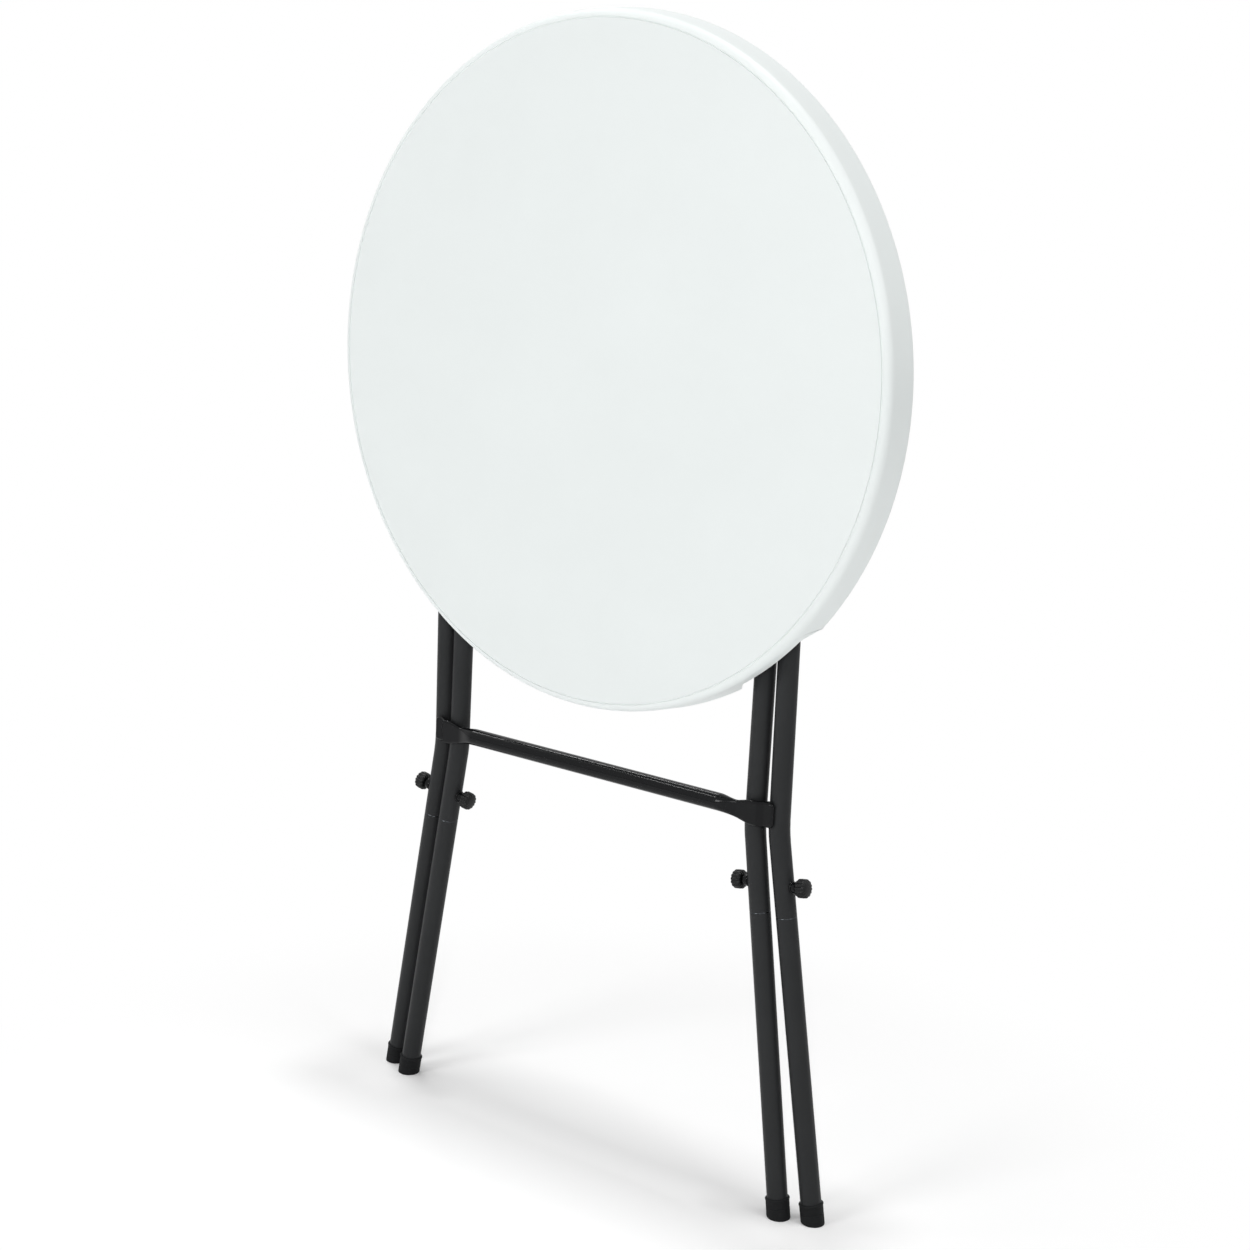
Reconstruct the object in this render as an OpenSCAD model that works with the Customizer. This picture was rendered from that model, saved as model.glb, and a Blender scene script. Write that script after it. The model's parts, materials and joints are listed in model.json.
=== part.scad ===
// Folding cocktail table, folded flat and standing on its four feet.
// +Z is up, +Y points to the back and the origin is the middle of the base.
// Two tube frames cross at a riveted pivot and the round top hangs in front.

/* [Table top] */
// Diameter of the round top at its back edge
top_d = 812; // [780:2:850]
// Depth of the skirt, from the face to the back edge
top_depth = 44; // [40:1:52]
// Thickness of the double-walled panel behind the face
panel_depth = 22; // [20:1:26]
// Wall thickness of the moulded skin
skin = 3; // [2.5:0.5:4]
// Radius of the rounded front edge
edge_r = 11; // [8:1:13]
// Radius of the rounded back edge of the skirt
back_edge_r = 3; // [2:0.5:5]
// How much the skirt widens from the face to the back edge
skirt_draft = 3; // [1:0.5:5]
// Width of the hollow ring that stiffens the rim
rim_w = 28; // [24:1:36]
// Width of the fine groove around the face
groove_w = 2; // [1:0.5:4]
// Depth of the fine groove around the face
groove_depth = 1; // [0.5:0.1:1.5]
// Distance of the rim notch's flat floor from the middle of the top, inner end
notch_in = 222; // [214:1:226]
// Width of the rim notch's flat floor
notch_w = 75; // [70:1:84]
// Sideways slope of each notch wall
notch_slope = 16; // [10:1:20]
// Radius of a stiffening dimple at its mouth
dimple_r = 9; // [6:0.5:12]
// Radius of a stiffening dimple at its tip
dimple_tip_r = 4; // [3:0.5:6]
// Diameter of the vent hole left by the blow pin
vent_d = 6; // [5:0.5:8]

/* [Leg frames] */
// Outside diameter of the leg tubes
tube_d = 25; // [24:0.5:26]
// Wall thickness of the leg tubes
tube_wall = 1.5; // [1.2:0.1:2]
// Distance of the outer frame's upright legs from the middle
outer_x = 261.5; // [260:0.5:266]
// Clear gap between an outer leg and the inner leg beside it
leg_gap = 5; // [4:0.5:7]
// Distance of the outer frame's feet from the middle, at the floor
outer_foot_x = 339; // [330:1:346]
// Distance of the inner frame's feet from the middle, at the floor
inner_foot_x = 301; // [294:1:304]
// Distance of the bend in each leg below the front crossbar
bend_drop = 24.5; // [22:0.5:30]
// Centreline radius of the bend in each leg
bend_r = 150; // [100:5:200]
// How much thicker a bend is than the tube, as the bender leaves it
bend_swell = 0.1; // [0.08:0.01:0.2]
// Centreline radius of the outer frame's upper corners
corner_r = 60; // [50:1:80]

/* [Crossbars] */
// Distance of the front crossbar below the rim of the folded top
bar_drop = 79.5; // [68:0.5:84]
// Outside diameter of both crossbars
bar_d = 21; // [19:0.5:23]
// Wall thickness of both crossbars
bar_wall = 1.5; // [1.2:0.1:2]
// Height of the crossbar's flattened ends
flat_h = 30; // [26:1:32]
// Height of the flattened ends where they meet the round bar
flat_neck = 23; // [21:0.5:25]
// How much lower the flattened ends sit than the round bar
flat_drop = 2.5; // [0.5:0.5:4]
// Thickness of the crossbar's flattened ends
flat_t = 6; // [5:0.5:7]
// Distance from the middle at which the crossbar starts to flatten
flat_start = 190; // [182:1:196]
// Length over which the crossbar flattens
flat_len = 28; // [24:1:32]
// Clear gap between the flattened bar and the inner legs behind it
flat_gap = 0.8; // [0.7:0.1:1.5]
// Height of the inner frame's crossbar above the pivot
inner_bar_up = 26; // [22:1:32]

/* [Folding linkage] */
// Height of the pivot where the two frames cross
pivot_z = 714; // [705:1:722]
// Distance from the pivot up to the hinge bar of the top
hinge_arm = 429; // [425:1:435]
// Lean of each leg frame when the table is in use, in degrees
lean = 23.5; // [22:0.5:24]
// Angle that each frame keeps from upright when folded, in degrees
fold_angle = 0.63; // [0.5:0.01:0.7]
// Height of the hinge bar above the middle of the folded top
hinge_up = 169; // [165:1:175]
// Depth of the hinge bar behind the face of the top
hinge_depth = 48; // [47:1:52]
// Diameter of the pivot rivets
rivet_d = 8; // [7:0.5:9]
// Diameter of the rivet heads
rivet_head_d = 14; // [12:0.5:16]
// Height of the rivet heads
rivet_head_h = 2.5; // [2:0.1:3]
// Diameter of the spacer washers between the frames
spacer_d = 18; // [16:0.5:20]
// Thickness of the brace arms
arm_t = 5; // [4:0.5:6]
// Half width of the brace arms
arm_r = 11; // [10:0.5:12]
// Half width of the brace arms where they are welded to the bar
arm_hub_r = 15; // [14:0.5:17]

/* [Saddles] */
// Distance of each hinge saddle from the middle
saddle_x = 150; // [130:1:165]
// Width of the moulded saddle blocks
saddle_w = 36; // [30:1:40]
// Width of the steel straps
strap_w = 26; // [22:1:28]
// Thickness of the steel straps
strap_t = 2.5; // [2:0.1:3]
// Room between a strap's loop and the heads of its screws
screw_room = 3.5; // [2:0.5:6]
// Distance of each strap screw from the end of its saddle
screw_edge = 10; // [8:0.5:14]
// Diameter of the strap screws
screw_d = 4.4; // [4:0.1:5]
// Diameter of the strap screws' heads
screw_head_d = 9; // [8:0.5:10]
// Height of the strap screws' heads
screw_head_h = 3; // [2:0.1:4]

/* [Leg extensions] */
// Distance of the leg splice below the bend
splice_drop = 95; // [89:1:104]
// Open gap at the splice
splice_gap = 1; // [0.8:0.1:1.5]
// Length of the spigot inside the upper tube
spigot_len = 70; // [60:1:75]
// Length of the tapered shoulder below the splice
swage_len = 5; // [4:0.5:8]
// Diameter of the foot caps
cap_d = 29.5; // [28:0.5:32]
// Height of the foot caps along the leg
cap_h = 25; // [22:1:30]
// Thickness of rubber under the tube
cap_floor = 5; // [5:0.5:8]
// Rounding of the foot caps' edges
cap_round = 2; // [1:0.5:2]

/* [Thumb screws] */
// Distance of the thumb screws above the middle of the spigot, along the leg
knob_up = 1; // [0:0.5:4]
// Diameter of the knobs
knob_d = 22.5; // [20:0.5:26]
// Thickness of the knobs
knob_t = 14.5; // [12:0.5:16]
// Distance of a knob's middle from the tube's axis
knob_out = 27; // [26.5:0.5:30]
// Rounding of the knobs' edges
knob_round = 3; // [2:0.5:4]
// Number of grip grooves around a knob
grip_count = 14; // [10:1:18]
// Radius of a grip groove
grip_r = 1.4; // [1:0.1:1.8]
// Diameter of the threaded stud
stud_d = 6; // [5:0.5:7]
// Outside diameter of the weld nut
nut_d = 13; // [12:0.5:14]
// Length of the weld nut outside the tube
nut_h = 5.5; // [4:0.5:5.5]

/* [Fits] */
// Radial clearance of turning and sliding fits
run_fit = 0.08; // [0.05:0.01:0.1]
// Clearance between faces that pass each other
face_fit = 0.3; // [0.2:0.05:0.4]

/* [Hidden] */

// Facets of round shapes and steps of a quarter round in an outline
round_fn = 96;
hull_fn = 32;
arc_steps = 6;
// One overrun serves every cut
over = 2;

// Tube sizes worked out from the driving sizes
tube_r = tube_d / 2;
bore_r = tube_r - tube_wall;
bar_r = bar_d / 2;
rivet_r = rivet_d / 2;
bend_lap = tube_wall / 2;
stud_r = stud_d / 2;
strap_ring_r = tube_r + run_fit + strap_t;
screw_z = strap_ring_r + screw_room + screw_head_d / 2;
saddle_h = 2 * (screw_z + screw_edge);
cap_r = cap_d / 2;
inner_x = outer_x - tube_d - leg_gap;

// Crossbar, bends and splices follow the lower rim of the folded top; a splice
// is measured from the floor along its leg
bar_z = pivot_z + hinge_arm - hinge_up - top_d / 2 - bar_drop;
bend_z = bar_z - bend_drop;
splice_s = bend_z - splice_drop;
outer_splay = atan((outer_foot_x - outer_x) / bend_z);
inner_splay = atan((inner_foot_x - inner_x) / bend_z);

// Places of the pivot, the hinge bar and the face; the box is centred on Y
hinge_drop = hinge_arm * sin(fold_angle);
foot_back = pivot_z * sin(fold_angle);
pivot_y = (hinge_drop + hinge_depth - foot_back - cap_r) / 2;
hinge_y = pivot_y - hinge_drop;
hinge_z = pivot_z + hinge_arm * cos(fold_angle);
face_y = hinge_y - hinge_depth;
disc_z = hinge_z - hinge_up;

// The inner frame's upper arm is as long as makes the open legs straight
inner_arm = hinge_arm * (1 - sin(lean));
knee_open = [(hinge_arm + inner_arm) * sin(lean), (hinge_arm - inner_arm) * cos(lean)];
knee_shut = [(hinge_arm - inner_arm) * cos(fold_angle), (hinge_arm + inner_arm) * sin(fold_angle)];
// Distance from the hinge bar down to the brace bar, equal reach open and shut
brace_down = (knee_open * knee_open - knee_shut * knee_shut) / (2 * (knee_open[0] - knee_shut[0]));
brace_z = hinge_z - brace_down;
knee_y = hinge_y + knee_shut[1];
knee_z = hinge_z - knee_shut[0];
brace_len = norm([brace_down - knee_shut[0], knee_shut[1]]);
brace_tilt = atan(knee_shut[1] / (brace_down - knee_shut[0]));
arm_gap = 1;
arm_x = inner_x - tube_r - arm_gap - arm_t;

// How far the inner frame stands in front of the outer frame at the crossbar
frame_step = 2 * (pivot_z - bar_z) * sin(fold_angle);
flat_y = -(frame_step + tube_r + flat_gap + flat_t / 2);
flat_z = bar_z - flat_drop;
pad_y = -(tube_r + flat_t / 2);
pad_end = outer_x + tube_wall;
crank_start = inner_x + tube_r;
crank_end = outer_x - tube_r + over;
vent_r = vent_d / 2;
weld_vent_r = bar_wall;

// Leg extension and thumb screw sizes
spigot_r = bore_r - run_fit;
spigot_bore = spigot_r - tube_wall;
knob_s = splice_s + spigot_len / 2 + knob_up;
knob_r = knob_d / 2;
nut_r = nut_d / 2;

function arc(cx, cy, r, a0, a1) =
    [for (i = [0:arc_steps]) [cx + r * cos(a0 + (a1 - a0) * i / arc_steps),
                              cy + r * sin(a0 + (a1 - a0) * i / arc_steps)]];

// Rows of stiffening dimples: shares of the panel's radius, and how many in each
dimple_ring_shares = [0.28, 0.55, 0.84];
dimple_counts = [8, 14, 22];
panel_r = top_d / 2 - rim_w;
dimple_keep = saddle_w;
dimples = [for (i = [0:len(dimple_counts) - 1]) for (k = [0:dimple_counts[i] - 1])
    let (p = dimple_ring_shares[i] * panel_r * [sin((k + 0.5) * 360 / dimple_counts[i]),
                                                cos((k + 0.5) * 360 / dimple_counts[i])])
    if (abs(abs(p[0]) - saddle_x) > dimple_keep ||
        (abs(p[1] - hinge_up) > dimple_keep + dimple_r &&
         abs(p[1] - hinge_up + brace_down) > dimple_keep + dimple_r)) p];

// Places a child of each frame; the frames tilt opposite ways about the pivot
module frame_tilt(angle) {
    translate([0, pivot_y, pivot_z]) rotate([angle, 0, 0]) translate([0, 0, -pivot_z]) children();
}
module on_outer() { frame_tilt(fold_angle) children(); }
module on_inner() { frame_tilt(-fold_angle) children(); }

// Right side as drawn, left side mirrored
module on_side(side) { mirror([side < 0 ? 1 : 0, 0, 0]) children(); }

// Local Z runs up a splayed lower leg from the floor
module on_leg(foot_x, splay) { translate([foot_x, 0, 0]) rotate([0, -splay, 0]) children(); }

// Everything below the floor is cut off
module above_floor() {
    difference() {
        children();
        translate([-top_d, -top_d, -top_d]) cube([2 * top_d, 2 * top_d, top_d]);
    }
}

// The solid path of one leg from the splice to the upper end of its straight;
// the straights run a little way into the bend, which is a hair thicker
module leg_path(r, leg_x, foot_x, splay, z_end, low) {
    tangent = bend_r * tan(splay / 2);
    lower = bend_z / cos(splay) - tangent + bend_lap;
    upper = bend_z + tangent - bend_lap;
    on_leg(foot_x, splay) translate([0, 0, low]) cylinder(r = r, h = lower - low, $fn = round_fn);
    translate([leg_x + bend_r, 0, bend_z + tangent]) rotate([90, 0, 0]) rotate([0, 0, 180])
        rotate_extrude(angle = splay, $fn = round_fn)
            translate([bend_r, 0]) circle(r = r + bend_swell, $fn = round_fn);
    translate([leg_x, 0, upper]) cylinder(r = r, h = z_end - upper, $fn = round_fn);
}

module outer_path(r, low) {
    top_z = pivot_z + hinge_arm;
    for (side = [-1, 1]) on_side(side) {
        leg_path(r, outer_x, outer_foot_x, outer_splay, top_z - corner_r, low);
        translate([outer_x - corner_r, 0, top_z - corner_r]) rotate([90, 0, 0])
            rotate_extrude(angle = 90, $fn = round_fn)
                translate([corner_r, 0]) circle(r = r, $fn = round_fn);
    }
    translate([corner_r - outer_x, 0, top_z]) rotate([0, 90, 0])
        cylinder(r = r, h = 2 * (outer_x - corner_r), $fn = round_fn);
}

// Hole for a thumb screw in the wall on the side that the knob is on
module stud_hole(foot_x, splay, out, r) {
    on_leg(foot_x, splay) translate([0, 0, knob_s]) rotate([0, 90 * out, 0])
        cylinder(r = r, h = tube_r + over, $fn = round_fn);
}

module pivot_hole(r, x0, x1) {
    translate([x0, 0, pivot_z]) rotate([0, 90, 0]) cylinder(r = r, h = x1 - x0, $fn = round_fn);
}

module outer_leg_frame() {
    low = splice_s + splice_gap;
    color("#3a3b3d") on_outer() difference() {
        outer_path(tube_r, low);
        outer_path(bore_r, low - over);
        for (side = [-1, 1]) on_side(side) {
            stud_hole(outer_foot_x, outer_splay, 1, stud_r + run_fit);
            pivot_hole(rivet_r, outer_x - tube_r - over, outer_x + tube_r + over);
        }
    }
}

module inner_leg(side) {
    low = splice_s + splice_gap;
    end_z = pivot_z + inner_arm + tube_r;
    color("#3a3b3d") on_inner() on_side(side) difference() {
        leg_path(tube_r, inner_x, inner_foot_x, inner_splay, end_z, low);
        leg_path(bore_r, inner_x, inner_foot_x, inner_splay, end_z + over, low - over);
        stud_hole(inner_foot_x, inner_splay, -1, stud_r + run_fit);
        pivot_hole(rivet_r + run_fit, inner_x - tube_r - over, inner_x + tube_r + over);
        translate([inner_x - tube_r - over, 0, pivot_z + inner_arm]) rotate([0, 90, 0])
            cylinder(r = rivet_r + run_fit, h = tube_r + over, $fn = round_fn);
    }
}
module inner_leg_left() { inner_leg(-1); }
module inner_leg_right() { inner_leg(1); }

// Upright flat plate at the end of the crossbar, stepped back to the outer leg
module crossbar_end() {
    half = flat_t / 2;
    step = pad_y - flat_y;
    flat_from = flat_start + flat_len;
    tall = flat_h / 2;
    neck = flat_neck / 2;
    difference() {
        translate([0, 0, flat_z - tall]) linear_extrude(height = flat_h)
            polygon([[flat_from, flat_y - half], [crank_start, flat_y - half],
                     [crank_end, pad_y - half], [pad_end, pad_y - half],
                     [pad_end, pad_y + half], [crank_end - step / 2, pad_y + half],
                     [crank_start + step / 2, flat_y + half], [flat_from, flat_y + half]]);
        for (up = [-1, 1]) translate([0, 0, flat_z]) rotate([90, 0, 0])
            linear_extrude(height = -flat_y + flat_t)
                polygon([[flat_from - over, up * neck], [flat_from, up * neck],
                         [crank_start, up * tall], [crank_start, up * (tall + over)],
                         [flat_from - over, up * (tall + over)]]);
    }
    hull() {
        translate([flat_start, flat_y, bar_z]) rotate([0, 90, 0])
            cylinder(r = bar_r, h = bar_wall, $fn = hull_fn);
        translate([flat_from, flat_y - half, flat_z - neck]) cube([over, flat_t, flat_neck]);
    }
}

module front_crossbar() {
    color("#232426") on_outer() difference() {
        union() {
            translate([-flat_start, flat_y, bar_z]) rotate([0, 90, 0])
                cylinder(r = bar_r, h = 2 * flat_start, $fn = round_fn);
            for (side = [-1, 1]) on_side(side) crossbar_end();
        }
        translate([-flat_start, flat_y, bar_z]) rotate([0, 90, 0])
            cylinder(r = bar_r - bar_wall, h = 2 * flat_start, $fn = round_fn);
        translate([0, flat_y, bar_z]) rotate([-90, 0, 0])
            cylinder(r = weld_vent_r, h = bar_r + over, $fn = round_fn);
    }
}

module inner_crossbar() {
    color("#3a3b3d") on_inner() difference() {
        translate([-inner_x, 0, pivot_z + inner_bar_up]) rotate([0, 90, 0])
            cylinder(r = bar_r, h = 2 * inner_x, $fn = round_fn);
        translate([-inner_x - over, 0, pivot_z + inner_bar_up]) rotate([0, 90, 0])
            cylinder(r = bar_r - bar_wall, h = 2 * (inner_x + over), $fn = round_fn);
        for (side = [-1, 1]) translate([side * inner_x, 0, pivot_z])
            cylinder(r = tube_r, h = inner_bar_up + bar_d, $fn = round_fn);
        translate([0, 0, pivot_z + inner_bar_up]) rotate([-90, 0, 0])
            cylinder(r = weld_vent_r, h = bar_r + over, $fn = round_fn);
    }
}

// Plastic plug that closes the upper end of each inner leg
module inner_end_plugs() {
    end_z = pivot_z + inner_arm + tube_r;
    color("#1c1d1f") on_inner() for (side = [-1, 1]) translate([side * inner_x, 0, end_z]) {
        rotate_extrude($fn = round_fn)
            polygon(concat([[0, 0], [tube_r, 0]], arc(tube_r - tube_wall, 0, tube_wall, 0, 90),
                           [[0, tube_wall]]));
        translate([0, 0, -tube_wall * 2]) cylinder(r = bore_r, h = tube_wall * 2, $fn = round_fn);
    }
}

module pivot_rivets() {
    inboard = inner_x - tube_r - face_fit;
    outboard = outer_x + tube_r;
    color("#8d9093") translate([0, pivot_y, pivot_z]) for (side = [-1, 1]) on_side(side)
        rotate([0, 90, 0]) {
            translate([0, 0, inboard]) cylinder(r = rivet_r, h = outboard - inboard, $fn = round_fn);
            translate([0, 0, inboard - rivet_head_h])
                cylinder(r = rivet_head_d / 2, h = rivet_head_h, $fn = round_fn);
            translate([0, 0, outboard])
                cylinder(r = rivet_head_d / 2, h = rivet_head_h, $fn = round_fn);
        }
}

module pivot_spacers() {
    color("#1c1d1f") translate([0, pivot_y, pivot_z]) for (side = [-1, 1]) on_side(side)
        translate([outer_x - tube_r - leg_gap + face_fit, 0, 0]) rotate([0, 90, 0]) difference() {
            cylinder(r = spacer_d / 2, h = leg_gap - face_fit, $fn = round_fn);
            translate([0, 0, -over]) cylinder(r = rivet_r, h = leg_gap + 2 * over, $fn = round_fn);
        }
}

// Threaded nut welded to a leg; out is 1 outboard and -1 inboard
module weld_nut(foot_x, splay, out) {
    on_leg(foot_x, splay) difference() {
        translate([0, 0, knob_s]) rotate([0, 90 * out, 0]) difference() {
            cylinder(r = nut_r, h = tube_r + nut_h, $fn = round_fn);
            translate([0, 0, -over])
                cylinder(r = stud_r + run_fit, h = tube_r + nut_h + 2 * over, $fn = round_fn);
        }
        translate([0, 0, knob_s - nut_d]) cylinder(r = tube_r, h = 2 * nut_d, $fn = round_fn);
    }
}
module outer_weld_nuts() {
    color("#2c2d2f") on_outer() for (side = [-1, 1]) on_side(side)
        weld_nut(outer_foot_x, outer_splay, 1);
}
module inner_weld_nuts() {
    color("#2c2d2f") on_inner() for (side = [-1, 1]) on_side(side)
        weld_nut(inner_foot_x, inner_splay, -1);
}

// Outline of the top in radius and depth, shrunk by t for the hollow inside
module top_outline(t) {
    back_r = top_d / 2;
    front_r = back_r - skirt_draft;
    polygon(concat(
        [[0, t]],
        arc(front_r - edge_r, edge_r, edge_r - t, -90, 0),
        arc(back_r - back_edge_r, top_depth - back_edge_r, max(back_edge_r - t, t / arc_steps), 0, 90),
        [[back_r - rim_w + t, top_depth - t], [back_r - rim_w + t, panel_depth - t],
         [0, panel_depth - t]]));
}

// Notch in the lower rim for the folded legs, grown by t for the wall around it
module notch(t) {
    rise = top_depth + over - panel_depth + t;
    slope = notch_slope * rise / (top_depth - panel_depth);
    on_top() translate([0, 0, -top_d / 2 - over]) linear_extrude(height = top_d / 4)
        polygon([[notch_in - t, panel_depth - t], [notch_in + notch_w + t, panel_depth - t],
                 [notch_in + notch_w + t + slope, top_depth + over],
                 [notch_in - t - slope, top_depth + over]]);
}

// Local origin in the middle of the face, local Y running back into the top
module on_top() { translate([0, face_y, disc_z]) children(); }
// The same place with local Z as the depth, for turned shapes
module on_top_turned() { on_top() rotate([-90, 0, 0]) children(); }

module table_top() {
    color("#e9edec") difference() {
        union() {
            difference() {
                on_top_turned() rotate_extrude($fn = 2 * round_fn) top_outline(0);
                difference() {
                    on_top_turned() rotate_extrude($fn = 2 * round_fn) top_outline(skin);
                    for (side = [-1, 1]) on_side(side) notch(skin);
                }
            }
            for (p = dimples) on_top() translate([p[0], skin, p[1]]) rotate([-90, 0, 0])
                cylinder(r1 = dimple_tip_r + skin, r2 = dimple_r + skin,
                         h = panel_depth - skin - skin / 2, $fn = hull_fn);
        }
        for (side = [-1, 1]) on_side(side) notch(0);
        for (p = dimples) on_top() translate([p[0], 2 * skin, p[1]]) rotate([-90, 0, 0])
            cylinder(r1 = dimple_tip_r, r2 = dimple_r, h = panel_depth - 2 * skin, $fn = hull_fn);
        on_top_turned() rotate_extrude($fn = 2 * round_fn)
            translate([top_d / 2 - skirt_draft - edge_r, -over]) square([groove_w, over + groove_depth]);
        on_top() translate([0, panel_depth - 2 * skin, 0]) rotate([-90, 0, 0])
            cylinder(r = vent_r, h = 3 * skin, $fn = round_fn);
        for (z = [hinge_z, brace_z]) saddle_screws(z, 0);
    }
}

// Local origin on a bar's axis at one saddle
module at_saddle(side, z) { translate([side * saddle_x, hinge_y, z]) children(); }

module saddle_block(side, z) {
    foot = hinge_depth - panel_depth;
    color("#1f2022") at_saddle(side, z) difference() {
        rotate([90, 0, 90]) translate([0, 0, -saddle_w / 2]) linear_extrude(height = saddle_w)
            polygon([[-foot, -saddle_h / 2], [-strap_t, -saddle_h / 2], [0, strap_t - saddle_h / 2],
                     [0, saddle_h / 2 - strap_t], [-strap_t, saddle_h / 2], [-foot, saddle_h / 2]]);
        rotate([0, 90, 0]) translate([0, 0, -saddle_w]) cylinder(r = tube_r + run_fit, h = 2 * saddle_w,
                                                               $fn = round_fn);
        for (up = [-1, 1]) translate([0, -hinge_depth, up * screw_z]) rotate([-90, 0, 0])
            cylinder(r = screw_d / 2, h = hinge_depth + over, $fn = round_fn);
    }
}
module hinge_block_left() { saddle_block(-1, hinge_z); }
module hinge_block_right() { saddle_block(1, hinge_z); }
module brace_block_left() { saddle_block(-1, brace_z); }
module brace_block_right() { saddle_block(1, brace_z); }

module saddle_strap(side, z) {
    flange = saddle_h / 2 - strap_t;
    color("#2c2d2f") at_saddle(side, z) difference() {
        union() {
            intersection() {
                rotate([0, 90, 0]) translate([0, 0, -strap_w / 2])
                    cylinder(r = strap_ring_r, h = strap_w, $fn = round_fn);
                translate([-strap_w, 0, -2 * strap_ring_r])
                    cube([2 * strap_w, 2 * strap_ring_r, 4 * strap_ring_r]);
            }
            translate([-strap_w / 2, 0, -flange]) cube([strap_w, strap_t, 2 * flange]);
        }
        rotate([0, 90, 0]) translate([0, 0, -saddle_w]) cylinder(r = tube_r + run_fit, h = 2 * saddle_w,
                                                               $fn = round_fn);
        for (up = [-1, 1]) translate([0, -over, up * screw_z]) rotate([-90, 0, 0])
            cylinder(r = screw_d / 2, h = strap_t + 2 * over, $fn = round_fn);
    }
}
module hinge_strap_left() { saddle_strap(-1, hinge_z); }
module hinge_strap_right() { saddle_strap(1, hinge_z); }
module brace_strap_left() { saddle_strap(-1, brace_z); }
module brace_strap_right() { saddle_strap(1, brace_z); }

// The four screws at one height; head is 0 for the plain shank
module saddle_screws(z, head) {
    into = hinge_depth - panel_depth + 2 * skin;
    for (side = [-1, 1]) for (up = [-1, 1]) at_saddle(side, z) translate([0, 0, up * screw_z])
        rotate([-90, 0, 0]) {
            translate([0, 0, -into]) cylinder(r = screw_d / 2, h = into + strap_t, $fn = round_fn);
            if (head > 0) translate([0, 0, strap_t])
                rotate_extrude($fn = round_fn)
                    polygon(concat([[0, 0], [screw_head_d / 2, 0]],
                                   arc(screw_head_d / 2 - head / 2, head / 2, head / 2, 0, 90),
                                   [[0, head]]));
        }
}
module strap_screws() {
    color("#9a9da0") for (z = [hinge_z, brace_z]) saddle_screws(z, screw_head_h);
}

module brace_bar() {
    color("#3a3b3d") translate([-arm_x, hinge_y, brace_z]) rotate([0, 90, 0]) difference() {
        cylinder(r = tube_r, h = 2 * arm_x, $fn = round_fn);
        translate([0, 0, -over]) cylinder(r = bore_r, h = 2 * (arm_x + over), $fn = round_fn);
    }
}

// Flat arm from the brace bar up to the knee at the top of an inner leg
module brace_arm(side) {
    color("#2c2d2f") on_side(side) translate([arm_x, hinge_y, brace_z]) rotate([-brace_tilt, 0, 0])
        rotate([0, 90, 0]) difference() {
            union() {
                cylinder(r = arm_hub_r, h = arm_t, $fn = round_fn);
                translate([-brace_len, -arm_r, 0]) cube([brace_len, 2 * arm_r, arm_t]);
                translate([-brace_len, 0, 0]) cylinder(r = arm_r, h = arm_t, $fn = round_fn);
            }
            translate([0, 0, -over]) cylinder(r = bore_r, h = arm_t + 2 * over, $fn = round_fn);
            translate([-brace_len, 0, -over]) cylinder(r = rivet_r, h = arm_t + 2 * over, $fn = round_fn);
        }
}
module brace_arm_left() { brace_arm(-1); }
module brace_arm_right() { brace_arm(1); }

// Rivets of the knee, flush with the arm so that the inner legs pass them
module brace_rivets() {
    color("#8d9093") for (side = [-1, 1]) on_side(side) translate([arm_x, knee_y, knee_z])
        rotate([0, 90, 0]) {
            translate([0, 0, -rivet_head_h])
                cylinder(r = rivet_head_d / 2, h = rivet_head_h, $fn = round_fn);
            cylinder(r = rivet_r, h = arm_t + arm_gap - face_fit, $fn = round_fn);
        }
}

// Lower leg tube with its swaged spigot
module extension_shape() {
    rotate_extrude($fn = round_fn)
        polygon([[bore_r, cap_floor], [tube_r, cap_floor], [tube_r, splice_s - face_fit],
                 [tube_r - face_fit, splice_s], [spigot_r, splice_s],
                 [spigot_r, splice_s + spigot_len - tube_wall],
                 [spigot_r - tube_wall / 2, splice_s + spigot_len],
                 [spigot_bore, splice_s + spigot_len], [spigot_bore, splice_s],
                 [bore_r, splice_s - swage_len]]);
}

// Rubber cup on the lower end; its underside is cut level with the floor
module cap_shape(splay) {
    low = -cap_r * tan(splay) - over;
    rotate_extrude($fn = round_fn)
        polygon(concat([[0, low], [cap_r, low]],
                       arc(cap_r - cap_round, cap_h - cap_round, cap_round, 0, 90),
                       [[tube_r, cap_h], [tube_r, cap_floor], [0, cap_floor]]));
}

// Places a child on one lower leg: kind is 1 for outer legs, -1 for inner legs
module on_lower_leg(kind, side) {
    if (kind > 0) on_outer() on_side(side) on_leg(outer_foot_x, outer_splay) children();
    else on_inner() on_side(side) on_leg(inner_foot_x, inner_splay) children();
}

module extension(kind, side) { color("#424345") on_lower_leg(kind, side) extension_shape(); }
module extension_outer_left() { extension(1, -1); }
module extension_outer_right() { extension(1, 1); }
module extension_inner_left() { extension(-1, -1); }
module extension_inner_right() { extension(-1, 1); }

module foot_cap(kind, side) {
    color("#202122") above_floor() on_lower_leg(kind, side)
        cap_shape(kind > 0 ? outer_splay : inner_splay);
}
module foot_cap_outer_left() { foot_cap(1, -1); }
module foot_cap_outer_right() { foot_cap(1, 1); }
module foot_cap_inner_left() { foot_cap(-1, -1); }
module foot_cap_inner_right() { foot_cap(-1, 1); }

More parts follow.
